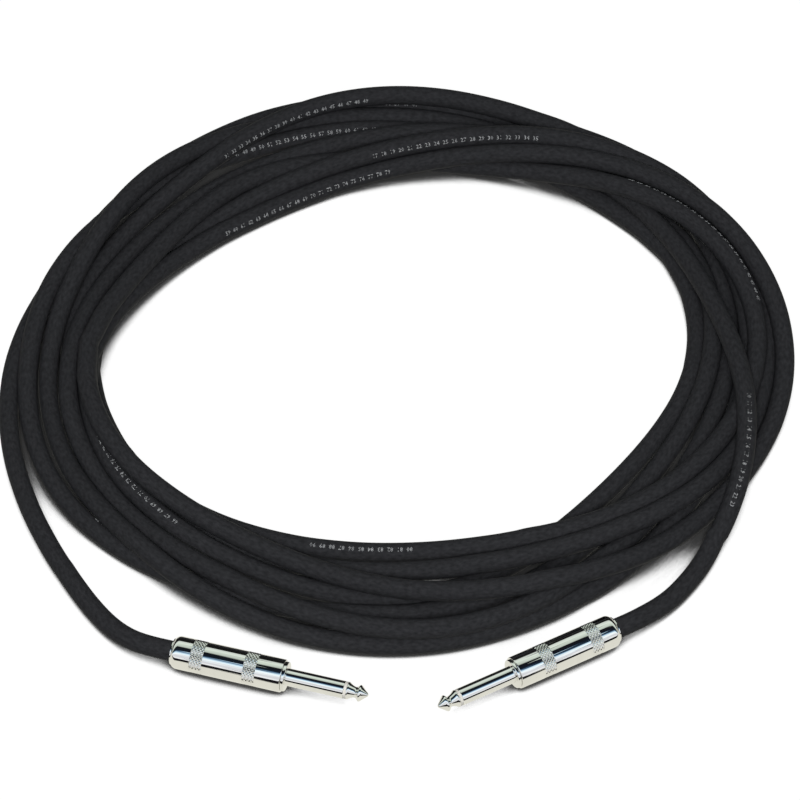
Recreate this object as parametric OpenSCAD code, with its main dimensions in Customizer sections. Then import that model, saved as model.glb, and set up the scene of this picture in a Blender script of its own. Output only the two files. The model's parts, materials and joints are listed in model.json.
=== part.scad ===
// Instrument cable: a coiled two-conductor lead with a quarter-inch phone plug on each end.
// Millimetres, +Z up.  The origin lies on the floor, midway between the two plugs.

/* [Cable] */
// Outer diameter of the jacket
cord_d = 7.4; // [6:0.1:7.6]
// Outer diameter of each insulated conductor
lead_d = 2.5; // [2:0.1:2.6]
// Diameter of each stranded copper core
core_d = 1.3; // [0.9:0.1:1.5]
// Clear space kept between neighbouring turns
turn_gap = 0.48; // [0.47:0.01:0.9]

/* [Coil] */
// Turns from one free end to the other, a whole number of 24ths
coil_turns = 7.5; // [6.5:0.125:7.5]
// Turns wound inwards before the spiral reverses and climbs
reverse_turn = 4.8; // [4.7:0.1:4.9]
// Compass angle where the first turn starts, seen from above
coil_start_angle = 192; // [190:1:194]
// Mean radius of the outermost lane
coil_r = 143; // [140:0.2:150]
// How far the coil is longer than wide, half the difference
coil_stretch = 9.2; // [6:0.1:10]
// Compass angle of the coil's long axis
coil_stretch_angle = 27; // [20:1:35]
// Three-cornered roundness of the coil
coil_corner = 1.5; // [0:0.1:2.5]
// Compass angle of the first of those corners
coil_corner_angle = 50; // [40:1:60]
// Four-cornered roundness of the coil
coil_square = 1.9; // [0:0.1:2]
// Compass angle of the first of those corners
coil_square_angle = 5; // [0:1:10]
// Extra lane width at the front of the coil, where the turns lie looser
lane_slack = 1; // [0.6:0.1:1.6]
// Sideways displacement of the upper layer over the lower one
layer_shift = 13.4; // [11:0.1:13.5]
// Compass angle towards which the upper layer is displaced
layer_shift_angle = 129; // [124:1:132]

/* [Handle] */
// Length of the screw-on handle
handle_l = 41.5; // [38:0.5:46]
// Outer diameter of the handle
handle_d = 12; // [11.8:0.1:13]
// Room between the cord and the handle's bore, for the strap and the liner
bore_gap = 1.35; // [1.25:0.05:1.5]
// Thickness of the handle's rear wall
rear_wall = 1.5; // [1:0.1:2.5]
// Radius of the rounded rear edge
rear_edge_r = 2.4; // [1:0.1:3]
// Width of each knurled band
knurl_w = 4.4; // [3:0.1:6]
// Depth of the knurled bands below the plain barrel
knurl_depth = 0.1; // [0.05:0.01:0.2]
// Distance from the front rim to the middle of the front band
front_knurl_at = 11.8; // [9:0.1:14]
// Distance from the front rim to the middle of the rear band
rear_knurl_at = 31.5; // [28:0.1:33]

/* [Finger] */
// Diameter of the quarter-inch finger
finger_d = 6.35; // [6.2:0.05:6.35]
// How far the flange that the handle closes against reaches past the handle's bore
flange_lip = 0.35; // [0.25:0.05:0.5]
// Thickness of that flange
flange_t = 1.2; // [0.8:0.1:2]
// Length of the sleeve contact in front of the flange
sleeve_l = 21.5; // [20:0.1:23]
// Width of the insulating ring between sleeve and tip
ring_w = 1; // [0.8:0.1:1.4]
// Length of the tip contact
tip_l = 7.8; // [7:0.1:9]
// Diameter of the groove behind the tip's ball
tip_neck_d = 3.9; // [3.4:0.1:4.6]
// Largest diameter of the tip's ball
tip_ball_d = 6.1; // [5.4:0.1:6.2]

/* [Thread and terminals] */
// Pitch of the thread that holds the handle
thread_pitch = 0.8; // [0.7:0.05:1]
// Turns that unscrew the handle
thread_turns = 8; // [6:1:8]
// Diameter of the rod that joins the tip to its terminal
rod_d = 2.4; // [2:0.1:2.6]
// Outer diameter of the tube that insulates the rod
rod_tube_d = 4.5; // [4:0.1:4.7]
// Thickness of the terminal sheet
terminal_t = 0.6; // [0.5:0.1:0.8]
// Thickness of the insulating washer
washer_t = 0.8; // [0.6:0.1:1.2]
// Thickness of the insulating liner
liner_t = 0.4; // [0.3:0.05:0.5]
// Thickness of the ground strap and its cable clamp
strap_t = 0.4; // [0.3:0.05:0.5]
// Depth inside the handle at which the jacket ends
jacket_end = 26; // [25:0.5:27]
// Length of the clamp round the jacket
clamp_l = 6; // [4:0.5:7]

/* [Layout] */
// Place of plug A's front rim, to the right of the origin
plug_a_x = -40; // [-42:0.5:-38]
// Place of plug A's front rim, behind the origin
plug_a_y = -6; // [-8:0.5:-4]
// Compass angle in which plug A points
plug_a_angle = -16; // [-18:1:-14]
// Place of plug B's front rim, to the right of the origin
plug_b_x = 42.5; // [41:0.5:44]
// Place of plug B's front rim, behind the origin
plug_b_y = -4.6; // [-6:0.1:-3]
// Compass angle in which plug B points
plug_b_angle = 209; // [207:1:211]
// Place of the coil's middle, to the right of the origin
coil_x = 3.3; // [2:0.1:4]
// Place of the coil's middle, behind the origin
coil_y = 144.3; // [143:0.1:146]

/* [Hidden] */
$fn = 96;

steel = "gainsboro";
brass = "goldenrod";
copper = "peru";
rubber = "dimgray";
nylon = "ivory";

fit = 0.05;      // radial clearance of running and slipped-on fits
seat = 0.02;     // radial clearance of soldered joints
chamfer = 0.4;   // broken edges of turned parts

// Distances along a plug, measured from the handle's front rim towards the tip.
thread_l = thread_pitch * thread_turns;
sleeve_end = flange_t + sleeve_l;
tip_base = sleeve_end + ring_w;
finger_end = tip_base + tip_l;
ground_back = -thread_l - terminal_t;
washer_back = ground_back - washer_t;
terminal_back = washer_back - terminal_t;
rivet_t = 0.8;
liner_front = -thread_l - 0.4;
liner_back = rear_wall - handle_l + 0.2;
clamp_front = -jacket_end - 2;

// Radii about a plug's axis.
cord_r = cord_d / 2;
bore_r = cord_r + bore_gap;
flange_r = bore_r + flange_lip;
axis_z = handle_d / 2;           // the handles lie on the floor
liner_r = bore_r - 3 * fit;
liner_bore_r = liner_r - liner_t;
cord_hole_r = cord_r + 0.3;
strap_in = cord_r + fit;         // the strap runs just under the jacket
strap_w = 3;
ground_r = liner_bore_r - 2 * fit;
terminal_r = 3;

// Solder lug of the tip terminal, and the two soldered joints.
lug_in = 2.5;
lug_w = 2.8;
lug_l = 6;
solder_r = 1.35;
solder_l = 4;
core_in_solder = 3.5;
solder_wall = 0.12;
lead_spread = lead_d / 2 + 0.15;
tip_core_x = core_d / 2 + solder_wall - lug_in;
ground_core_x = strap_in - core_d / 2 - solder_wall;
ground_lead_x = strap_in - lead_d / 2 - fit;
// Depths at which the solder beads begin, and at which the insulation is stripped
tip_joint = terminal_back - lug_l + 0.6;
ground_joint = tip_joint - 2;
tip_strip = tip_joint - 4.7;
ground_strip = ground_joint - 3.7;

// ---------- cord geometry ----------
// Rings per turn of the coil, and the sides of its tube
coil_rings = 24;
coil_sides = 6;
tail_sides = 12;
lead_sides = 10;

layer_z = [cord_r, cord_r + cord_d + turn_gap];
lane_ease = 0.03;              // what a lane is wider than the cord and its gap
lane_w = cord_d + turn_gap + lane_ease;
// The upper layer is a little larger than the lower one, and rounder.
layer_growth = 4.8;
layer_rounding = 5.4;
layer_rounding_angle = 31;
layer_corner = 1.9;
layer_corner_angle = 40;

// Turns taken by the reversal, the climb and the sideways displacement, and how far
// before the middle of the reversal each of the last two begins.
reverse_turns = 0.5;
climb_turns = 0.4;
climb_lead = 0.22;
displace_turns = 0.5;
displace_lead = 0.4;

function smooth(x) = let (c = min(max(x, 0), 1)) c * c * (3 - 2 * c);
function unit(v) = v / norm(v);

// Lane number: rises by one a turn, turns round during the reversal, and falls again.
function lane(t) = let (u = abs(t - reverse_turn), half = reverse_turns / 2)
    u < half ? reverse_turn - u * u / (2 * half) - half / 2 : reverse_turn - u;
function climb(t) = smooth((t - reverse_turn + climb_lead) / climb_turns);
function displace(t) = smooth((t - reverse_turn + displace_lead) / displace_turns);

// Outline of the outermost lane, width of a lane and displacement of the upper layer by angle.
function outline(a) = coil_r + coil_stretch * cos(2 * (a - coil_stretch_angle))
    + coil_corner * cos(3 * (a - coil_corner_angle))
    + coil_square * cos(4 * (a - coil_square_angle));
function lane_at(a) = lane_w + lane_slack * pow((1 - sin(a)) / 2, 2);
function shift_at(a) = layer_growth + layer_shift * cos(a - layer_shift_angle)
    - layer_rounding * cos(2 * (a - layer_rounding_angle))
    - layer_corner * cos(3 * (a - layer_corner_angle));

// Middle of the cord t turns from the coil's start; the turns run clockwise from above.
function coil_point(t) = let (
        a = coil_start_angle - 360 * t,
        r = outline(a) - lane(t) * lane_at(a) + displace(t) * shift_at(a)
    ) [coil_x + r * cos(a), coil_y + r * sin(a),
       layer_z[0] + climb(t) * (layer_z[1] - layer_z[0])];

coil_steps = round(coil_turns * coil_rings);
tiny = 0.001;
coil_in = unit(coil_point(tiny) - coil_point(0));
coil_out = unit(coil_point(coil_turns) - coil_point(coil_turns - tiny));
// Both ends run straight for one diameter, square to the tails that they meet.
coil_first = coil_point(0) - cord_d * coil_in;
coil_last = coil_point(coil_turns) + cord_d * coil_out;
coil_path = concat([coil_first],
    [for (i = [0 : coil_steps]) coil_point(i / coil_rings)],
    [coil_last]);

// A plug's pose: its front rim and the way it points.
rim_a = [plug_a_x, plug_a_y, axis_z];
rim_b = [plug_b_x, plug_b_y, axis_z];
way_a = [cos(plug_a_angle), sin(plug_a_angle), 0];
way_b = [cos(plug_b_angle), sin(plug_b_angle), 0];
// The handle slides back over this much of the cord, which runs straight there.
straight = thread_l + 0.1;

function behind(rim, way, depth) = rim - depth * way;

// Routes of the free tails, from plug to coil and from coil to plug.
tail_a_points = [
    [-90.8, 9, 5.8], [-95.2, 11.5, 5.3], [-99.1, 14.6, 4.8], [-102.7, 18.3, 4.3],
    [-106.6, 23.1, 3.9], [-111.4, 29.8, 3.7], [-116.8, 38.4, 3.7], [-122.5, 48.6, 3.7],
    [-128.3, 60, 3.7], [-133.6, 71.6, 3.7], [-138.4, 83.2, 3.7]
];
tail_b_points = [
    [131.6, 145, 11.6], [131.1, 133, 11.6], [130, 121, 11.6], [128.5, 109, 11.6],
    [126.6, 97, 11.6], [124.9, 87, 11.6], [123.3, 79.5, 11.5], [121.6, 73, 10.7],
    [119.8, 67, 8.8], [117.7, 61.2, 6.5], [115.2, 55.4, 4.5], [112.4, 49.8, 3.7],
    [108.9, 43.8, 3.7], [105, 38.2, 3.7], [100.6, 32.6, 3.9], [95.8, 27.6, 4.5],
    [90.4, 23, 5.3]
];
tail_a_path = concat(
    [for (d = [jacket_end, handle_l, handle_l + straight]) behind(rim_a, way_a, d)],
    tail_a_points, [coil_first - cord_d * coil_in, coil_first]);
tail_b_path = concat([coil_last, coil_last + cord_d * coil_out], tail_b_points,
    [for (d = [handle_l + straight, handle_l, jacket_end]) behind(rim_b, way_b, d)]);

// Distance from point p to the stretch between a and b.
function to_stretch(p, a, b) = let (
        ab = b - a, s = min(max((p - a) * ab / (ab * ab), 0), 1)
    ) norm(p - a - s * ab);

// The gaps are measured between points at half a ring's spacing and the chords beside them,
// and leave out the stretch next to each point, or next to a tail's joint with the coil.
fine_path = [for (i = [0 : 2 * coil_steps]) coil_point(i / (2 * coil_rings))];
fine_last = len(fine_path) - 2;
near = 16;
function nearest_in_coil() = min([
    for (i = [0 : fine_last - near], k = [i + near : fine_last])
        to_stretch(fine_path[i], fine_path[k], fine_path[k + 1])
]);
function nearest_of_tail(tail, from, to) = min([
    for (p = tail, i = [from : to]) to_stretch(p, fine_path[i], fine_path[i + 1])
]);
echo(least_gap_in_coil = nearest_in_coil() - cord_d);
echo(least_gap_tail_a = nearest_of_tail(tail_a_path, near, fine_last) - cord_d);
echo(least_gap_tail_b = nearest_of_tail(tail_b_path, 0, fine_last - near) - cord_d);

function path_length(p) = len(p) < 2 ? 0
    : let (steps = [for (i = [1 : len(p) - 1]) norm(p[i] - p[i - 1])]) steps * [for (s = steps) 1];
echo(cord_length = path_length(tail_a_path) + path_length(coil_path) + path_length(tail_b_path));

// ---------- helpers ----------
// A tube of the given radius and number of sides along a path, with flat square ends.
// Its sections keep one corner turned towards "level".
module tube(path, radius, sides, level = [0, 0, 1]) {
    last = len(path) - 1;
    heading = [for (i = [0 : last]) unit(path[min(i + 1, last)] - path[max(i - 1, 0)])];
    ring = [for (i = [0 : last]) let (
            side = unit(cross(level, heading[i])), up = cross(heading[i], side)
        ) for (k = [0 : sides - 1]) let (a = 90 + 360 * k / sides)
            path[i] + radius * (cos(a) * side + sin(a) * up)];
    wall = [for (i = [0 : last - 1], k = [0 : sides - 1]) let (
            a = i * sides + k, b = i * sides + (k + 1) % sides
        ) each [[a, b, b + sides], [a, b + sides, a + sides]]];
    front = [for (k = [1 : sides - 2]) [0, k + 1, k]];
    end = last * sides;
    back = [for (k = [1 : sides - 2]) [end, end + k, end + k + 1]];
    polyhedron(points = ring, faces = [for (f = concat(wall, front, back)) [f[2], f[1], f[0]]]);
}

// Everything of a plug is drawn along Z, with the tip up and the underside towards +X.
module at_plug(rim, angle) {
    translate(rim) rotate([0, 0, angle]) rotate([0, 90, 0]) children();
}

module ring(r_out, r_in, z0, z1) {
    translate([0, 0, z0]) difference() {
        cylinder(r = r_out, h = z1 - z0);
        translate([0, 0, -1]) cylinder(r = r_in, h = z1 - z0 + 2);
    }
}

// ---------- plug pieces ----------
module handle() {
    r = handle_d / 2;
    back = -handle_l;
    arc = [for (a = [0 : 15 : 90])
        [r - rear_edge_r + rear_edge_r * cos(a), back + rear_edge_r - rear_edge_r * sin(a)]];
    bands = [for (at = [front_knurl_at, rear_knurl_at], p = [
        [r, -at + knurl_w / 2 + knurl_depth], [r - knurl_depth, -at + knurl_w / 2],
        [r - knurl_depth, -at - knurl_w / 2], [r, -at - knurl_w / 2 - knurl_depth]]) p];
    color(steel) rotate_extrude() polygon(concat(
        [[bore_r + chamfer / 2, 0], [r - chamfer, 0], [r, -chamfer]], bands, arc,
        [[cord_hole_r + chamfer, back], [cord_hole_r, back + chamfer],
         [cord_hole_r, back + rear_wall], [bore_r, back + rear_wall],
         [bore_r, -chamfer / 2]]));
}

module liner() {
    color(nylon) ring(liner_r, liner_bore_r, liner_back, liner_front);
}

module sleeve_contact() {
    r = finger_d / 2;
    color(steel) rotate_extrude() polygon([
        [rod_tube_d / 2 + fit, -thread_l], [bore_r - fit - chamfer, -thread_l],
        [bore_r - fit, -thread_l + chamfer], [bore_r - fit, fit], [flange_r, fit],
        [flange_r, flange_t - chamfer / 2], [flange_r - chamfer / 2, flange_t],
        [r, flange_t], [r, sleeve_end - chamfer / 2], [r - chamfer / 2, sleeve_end],
        [rod_tube_d / 2 + fit, sleeve_end]
    ]);
}

module tip_insulator() {
    color(nylon) ring(finger_d / 2 - fit, rod_d / 2 + fit, sleeve_end, tip_base);
}

module rod_insulator() {
    color(nylon) ring(rod_tube_d / 2, rod_d / 2 + fit, -thread_l, sleeve_end);
}

// The rod runs back through the insulators, and its end is spread over the tip terminal.
module tip_contact() {
    rod = rod_d / 2;
    shoulder = 0.5;
    ball_at = finger_end - 3.2;
    neck_at = ball_at - 1.6;
    point_r = 0.7;
    color(steel) rotate_extrude() polygon(concat(
        [[0, terminal_back - rivet_t], [rod + 0.3, terminal_back - rivet_t],
         [rod + 0.7, terminal_back - 0.4], [rod + 0.7, terminal_back], [rod, terminal_back],
         [rod, tip_base], [finger_d / 2 - 0.2, tip_base], [finger_d / 2, tip_base + 0.2],
         [finger_d / 2, tip_base + shoulder], [tip_neck_d / 2, neck_at - 0.6],
         [tip_neck_d / 2, neck_at], [tip_ball_d / 2 - 0.25, ball_at - 0.35],
         [tip_ball_d / 2, ball_at], [tip_ball_d / 2 - 0.25, ball_at + 0.35]],
        [for (a = [30 : 20 : 90])
            [point_r * cos(a), finger_end - point_r + point_r * sin(a)]]));
}

module ground_terminal() {
    clamp_back = clamp_front - clamp_l;
    color(brass) {
        ring(ground_r, rod_tube_d / 2 + fit, ground_back, -thread_l);
        translate([strap_in, -strap_w / 2, clamp_back])
            cube([strap_t, strap_w, -thread_l - clamp_back]);
        // The clamp is bent round the jacket and stays open on top.
        translate([0, 0, clamp_back]) rotate([0, 0, -140]) rotate_extrude(angle = 280)
            translate([strap_in, 0]) square([strap_t, clamp_l]);
    }
}

module terminal_washer() {
    color(nylon) ring(strap_in - 2 * fit, rod_d / 2 + fit, washer_back, ground_back);
}

module tip_terminal() {
    color(brass) {
        ring(terminal_r, rod_d / 2 + fit, terminal_back, washer_back);
        translate([-lug_in - terminal_t / 2, -lug_w / 2, terminal_back - lug_l])
            cube([terminal_t / 2, lug_w, lug_l + terminal_t]);
    }
}

// One insulated conductor: it leaves the jacket's end and bends to one side.
module lead(from_x, to_x, end, tint) {
    color(tint) tube([
        [from_x, 0, -jacket_end], [from_x, 0, -jacket_end + lead_d / 2],
        [(from_x + to_x) / 2, 0, (end - jacket_end) / 2], [to_x, 0, end - lead_d / 2],
        [to_x, 0, end]
    ], lead_d / 2, lead_sides, [0, 1, 0]);
}
module tip_lead() { lead(-lead_spread, tip_core_x, tip_strip, "firebrick"); }
module ground_lead() { lead(lead_spread, ground_lead_x, ground_strip, "black"); }

// The bared core runs from the insulation's end into the solder.
module tip_core() {
    color(copper) translate([tip_core_x, 0, tip_strip])
        cylinder(d = core_d, h = tip_joint + core_in_solder - tip_strip);
}
module ground_core() {
    color(copper) tube([
        [ground_lead_x, 0, ground_strip], [ground_lead_x, 0, ground_strip + core_d / 4],
        [ground_core_x, 0, ground_joint - core_d / 2], [ground_core_x, 0, ground_joint],
        [ground_core_x, 0, ground_joint + core_in_solder]
    ], core_d / 2, lead_sides, [0, 1, 0]);
}

// A bead of solder round a core, flat where it wets the sheet beside it.
module solder(core_x, joint, face_x) {
    side = sign(face_x);
    round_end = 0.8 * (solder_r - core_d / 2 - seat);
    color("silver") difference() {
        translate([core_x, 0, joint]) rotate_extrude() polygon([
            [core_d / 2 + seat, 0], [solder_r - round_end, 0], [solder_r, round_end],
            [solder_r, solder_l - round_end], [solder_r - round_end, solder_l],
            [core_d / 2 + seat, solder_l]]);
        translate([face_x + (side < 0 ? -2 : 0), -solder_r - 1, joint - 1])
            cube([2, 2 * solder_r + 2, solder_l + 2]);
    }
}
module tip_solder() { solder(tip_core_x, tip_joint, -lug_in); }
module ground_solder() { solder(ground_core_x, ground_joint, strap_in); }

// ---------- cord ----------
module cable_tail_a() { color(rubber) tube(tail_a_path, cord_r, tail_sides); }
module cable_coil() { color(rubber) tube(coil_path, cord_r, coil_sides); }
module cable_tail_b() { color(rubber) tube(tail_b_path, cord_r, tail_sides); }

at_plug(rim_a, plug_a_angle) handle();  // handle_a
at_plug(rim_a, plug_a_angle) liner();  // liner_a
at_plug(rim_a, plug_a_angle) sleeve_contact();  // sleeve_contact_a
at_plug(rim_a, plug_a_angle) tip_contact();  // tip_contact_a
at_plug(rim_a, plug_a_angle) tip_insulator();  // tip_insulator_a
at_plug(rim_a, plug_a_angle) rod_insulator();  // rod_insulator_a
at_plug(rim_a, plug_a_angle) ground_terminal();  // ground_terminal_a
at_plug(rim_a, plug_a_angle) terminal_washer();  // terminal_washer_a
at_plug(rim_a, plug_a_angle) tip_terminal();  // tip_terminal_a
at_plug(rim_a, plug_a_angle) tip_lead();  // tip_lead_a
at_plug(rim_a, plug_a_angle) tip_core();  // tip_core_a
at_plug(rim_a, plug_a_angle) tip_solder();  // tip_solder_a
at_plug(rim_a, plug_a_angle) ground_lead();  // ground_lead_a
at_plug(rim_a, plug_a_angle) ground_core();  // ground_core_a
at_plug(rim_a, plug_a_angle) ground_solder();  // ground_solder_a
at_plug(rim_b, plug_b_angle) handle();  // handle_b
at_plug(rim_b, plug_b_angle) liner();  // liner_b
at_plug(rim_b, plug_b_angle) sleeve_contact();  // sleeve_contact_b
at_plug(rim_b, plug_b_angle) tip_contact();  // tip_contact_b
at_plug(rim_b, plug_b_angle) tip_insulator();  // tip_insulator_b
at_plug(rim_b, plug_b_angle) rod_insulator();  // rod_insulator_b
at_plug(rim_b, plug_b_angle) ground_terminal();  // ground_terminal_b
at_plug(rim_b, plug_b_angle) terminal_washer();  // terminal_washer_b
at_plug(rim_b, plug_b_angle) tip_terminal();  // tip_terminal_b
at_plug(rim_b, plug_b_angle) tip_lead();  // tip_lead_b
at_plug(rim_b, plug_b_angle) tip_core();  // tip_core_b
at_plug(rim_b, plug_b_angle) tip_solder();  // tip_solder_b
at_plug(rim_b, plug_b_angle) ground_lead();  // ground_lead_b
at_plug(rim_b, plug_b_angle) ground_core();  // ground_core_b
at_plug(rim_b, plug_b_angle) ground_solder();  // ground_solder_b
cable_tail_a();
cable_coil();
cable_tail_b();
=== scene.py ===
"""Looks of a coiled instrument cable with a screw-on quarter-inch phone plug on each end.

Metres, +Z up.  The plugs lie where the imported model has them, by the joints of their barrels.
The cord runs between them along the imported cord's two tails, but its coil doesn't repeat the
packed coil's turns: it is laid from rows of its own in the same band, and then settles.
"""

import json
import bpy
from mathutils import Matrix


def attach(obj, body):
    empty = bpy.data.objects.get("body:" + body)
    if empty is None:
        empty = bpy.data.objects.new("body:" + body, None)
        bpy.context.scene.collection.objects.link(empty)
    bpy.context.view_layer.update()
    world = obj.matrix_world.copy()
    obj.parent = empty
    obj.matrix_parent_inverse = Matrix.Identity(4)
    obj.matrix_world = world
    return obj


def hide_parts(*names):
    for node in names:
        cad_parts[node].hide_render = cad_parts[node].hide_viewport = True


bl_info = {
    "name": "Instrument Cable",
    "version": (1, 0, 0),
    "blender": (4, 5, 0),
    "location": "3D View > Sidebar > Cable",
    "description": "Dresses a coiled instrument cable and its two phone plugs",
    "category": "Object",
}

from math import radians

import bmesh
import bpy
import numpy as np
from bpy.props import FloatProperty, FloatVectorProperty, IntProperty, PointerProperty
from mathutils import Vector

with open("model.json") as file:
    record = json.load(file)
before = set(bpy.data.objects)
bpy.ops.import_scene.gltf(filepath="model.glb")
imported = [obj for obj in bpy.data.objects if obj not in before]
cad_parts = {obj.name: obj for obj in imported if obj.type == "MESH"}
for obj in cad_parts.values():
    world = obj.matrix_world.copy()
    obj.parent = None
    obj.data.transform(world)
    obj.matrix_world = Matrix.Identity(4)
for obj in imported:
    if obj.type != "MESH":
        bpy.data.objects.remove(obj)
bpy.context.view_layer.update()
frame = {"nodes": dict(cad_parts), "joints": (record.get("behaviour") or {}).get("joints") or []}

PLUGS = ("a", "b")
MM = 0.001


# ---------- what the frame says ----------
def joint(name):
    return next(j for j in frame["joints"] if j["name"] == name)


def plug_axes(plug):
    """Front rim, and the plug's own x, y and z: its underside, its side and where it points."""
    turn = joint("handle_turn_" + plug)
    way = -np.array(turn["axis"], float)
    way /= np.linalg.norm(way)
    under = np.array([0.0, 0.0, -1.0])
    return np.array(turn["pos_m"], float), under, np.cross(way, under), way


def along_plug(node, plug):
    """Distance along the plug and from its axis of each vertex of one of its CAD nodes."""
    rim, _, _, way = plug_axes(plug)
    mesh = frame["nodes"][node].data
    points = np.empty(len(mesh.vertices) * 3)
    mesh.vertices.foreach_get("co", points)
    points = points.reshape(-1, 3) - rim
    reach = points @ way
    return reach, np.linalg.norm(points - np.outer(reach, way), axis=1)


BARREL_REACH, BARREL_RADII = along_plug("handle_a", "a")
SLEEVE_REACH, SLEEVE_RADII = along_plug("sleeve_contact_a", "a")
TIP_REACH, TIP_RADII = along_plug("tip_contact_a", "a")
RING_REACH, RING_RADII = along_plug("tip_insulator_a", "a")


# ---------- settings ----------
def length(default, name, description, **limits):
    """A property that holds a length in metres."""
    return FloatProperty(name=name, description=description, default=default, unit="LENGTH",
                         precision=5, **limits)


def angle(degrees, name, description):
    """A property that holds an angle, whose default is given in degrees."""
    return FloatProperty(name=name, description=description, default=radians(degrees),
                         subtype="ANGLE", unit="ROTATION")


def number(default, name, description):
    return FloatProperty(name=name, description=description, default=default)


def count(default, name, description, low=3):
    return IntProperty(name=name, description=description, default=default, min=low)


def tint(default, name, description):
    """A property that holds a linear colour."""
    return FloatVectorProperty(name=name, description=description, default=default, size=3,
                               subtype="COLOR", min=0, max=1)


class CoilSettings(bpy.types.PropertyGroup):
    """How the laid coil settles onto the floor and onto itself."""
    middle_x: length(3.3 * MM, "Middle X", "Place of the coil's middle, to the right")
    middle_y: length(144.3 * MM, "Middle Y", "Place of the coil's middle, to the back")
    layer: length(8 * MM, "Layer", "Height at which a cord is laid over another one")
    press: length(18.5 * MM, "Press", "Height that the middle of the cord is pressed down to")
    contact: length(7.4 * MM, "Contact", "How near the middles of touching cords come")
    held: length(80 * MM, "Held ends", "Length of each end of the cord that stays as it is laid")
    lead_a: length(205 * MM, "Lead A", "Length of cord from plug A's end to the coil's rim")
    lead_b: length(235 * MM, "Lead B", "Length of cord from plug B's end to the coil's rim")
    rounds: count(600, "Rounds", "Rounds of settling")
    hold: number(0.02, "Hold", "Share of its way back that the cord is drawn in a round")
    drop: length(0.06 * MM, "Drop", "How far the cord drops in a round")
    stiffness: number(0.25, "Stiffness", "How strongly the cord straightens in a round")


class CordSettings(bpy.types.PropertyGroup):
    """The jacketed cord."""
    diameter: length(7.4 * MM, "Diameter", "Outer diameter of the jacket")
    jacket_end: length(26 * MM, "Jacket end", "Depth inside the barrel where the jacket ends")
    ring_step: length(3 * MM, "Ring spacing", "Distance between the rings of the cord's mesh")
    sides: count(22, "Sides", "Sides of the cord's mesh")
    edge: length(0.3 * MM, "Cut edge", "Rounding of the jacket's cut ends")
    colour: tint((0.0265, 0.027, 0.0295), "Jacket", "Colour of the jacket")
    print_height: length(2.3 * MM, "Print size", "Size of the numbers printed on the jacket")
    print_rise: length(0.03 * MM, "Print rise", "How far the print stands over the jacket")
    print_colour: tint((0.36, 0.37, 0.38), "Print", "Colour of the print")


class PlugSettings(bpy.types.PropertyGroup):
    """Details of the two plugs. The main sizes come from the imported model."""
    sides: count(128, "Sides", "Sides of the turned pieces")
    front_round: length(0.35 * MM, "Front edge", "Rounding of the barrel's front rim")
    rear_round: length(2.4 * MM, "Rear edge", "Rounding of the barrel's rear edge")
    teeth: count(30, "Knurl teeth", "Teeth of the knurl round the barrel")
    tooth_samples: count(12, "Tooth samples", "Mesh columns across each tooth")
    knurl_depth: length(0.25 * MM, "Knurl depth", "Depth of the knurl's grooves")
    knurl_width: length(4.4 * MM, "Knurl width", "Width of each knurled band")
    front_knurl: length(11.8 * MM, "Front knurl", "From the front rim to the front band's middle")
    rear_knurl: length(31.5 * MM, "Rear knurl", "From the front rim to the rear band's middle")
    pitch: length(0.8 * MM, "Thread pitch", "Pitch of the thread that holds the barrel")
    thread_depth: length(0.42 * MM, "Thread depth", "Depth of that thread")
    neck: length(3.9 * MM, "Tip neck", "Diameter of the groove behind the tip's ball")
    ball: length(6.1 * MM, "Tip ball", "Largest diameter of the tip's ball")
    nickel: tint((0.82, 0.815, 0.79), "Nickel", "Colour of the nickel plating")
    nylon: tint((0.80, 0.78, 0.72), "Nylon", "Colour of the insulating rings")


class StageSettings(bpy.types.PropertyGroup):
    """Camera, floor and light."""
    elevation: angle(48, "Elevation", "Height of the camera over the floor")
    distance: length(1800 * MM, "Distance", "Distance of the camera")
    target_x: length(1.5 * MM, "Target X", "What the camera looks at, to the right")
    target_y: length(132.06 * MM, "Target Y", "What the camera looks at, to the back")
    lens: FloatProperty(name="Lens", description="Focal length of the camera", default=214.65,
                        subtype="DISTANCE_CAMERA")
    paper_front: length(-44 * MM, "Paper edge", "Where the white paper ends in front")
    key: number(34, "Key lamp", "Power of the front soft box, in watts")
    top: number(4, "Top lamp", "Power of the overhead soft box, in watts")


# ---------- surfaces ----------
def cosd(degrees):
    return np.cos(np.radians(degrees))


def sind(degrees):
    return np.sin(np.radians(degrees))


def enclosed(corners, faces):
    """Volume inside quads: the sum of the tetrahedra from the origin to their halves."""
    a, b, c, d = (corners[faces[:, k]] for k in range(4))
    return (np.einsum("ij,ij->", a, np.cross(b, c)) + np.einsum("ij,ij->", a, np.cross(c, d))) / 6


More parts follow.
